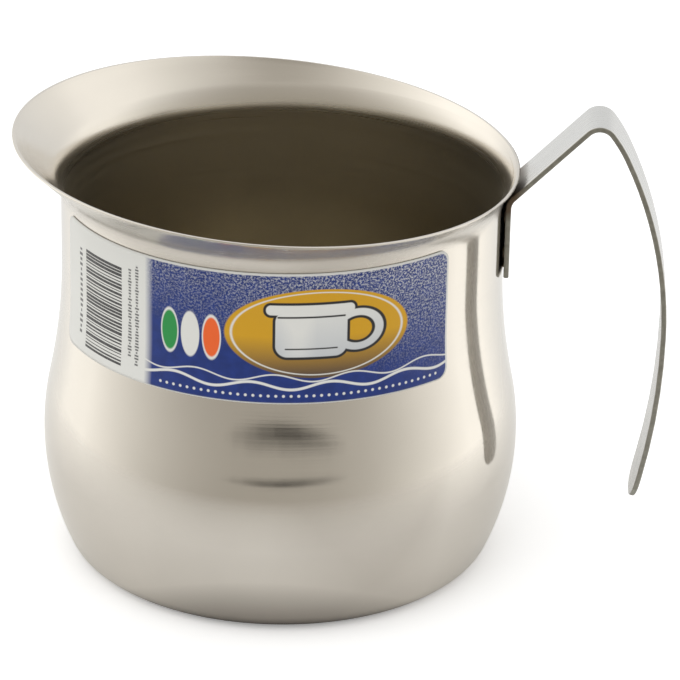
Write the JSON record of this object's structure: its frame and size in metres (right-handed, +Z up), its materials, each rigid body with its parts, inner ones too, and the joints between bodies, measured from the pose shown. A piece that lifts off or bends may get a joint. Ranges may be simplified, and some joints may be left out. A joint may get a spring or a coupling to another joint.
{
  "type": "milk pan",
  "caption": "Round polished steel milk pan with a bulged body, a necked mouth flared and trimmed on a slant to pour, and a bent strip handle welded to the neck.",
  "frame": {"origin": "centre of the foot ring, on the pan's axis, in the plane that the pan stands on", "axes": "+Z up along the pan's axis; +X towards the handle, so that the pouring side of the mouth faces -X; +Y away from the side that carries the label's middle"},
  "size_m": [0.1806, 0.1386, 0.1303],
  "materials": {
    "polished_steel": "mirror polished outside, satin inside",
    "strip_steel": "polished strip",
    "weld_steel": "dull weld metal",
    "printed_film": "glossy printed film"
  },
  "bodies": {
    "root": {"pan_body": "polished_steel", "handle_strip": "strip_steel", "spot_welds": "weld_steel", "label": "printed_film"}
  },
  "joints": []
}
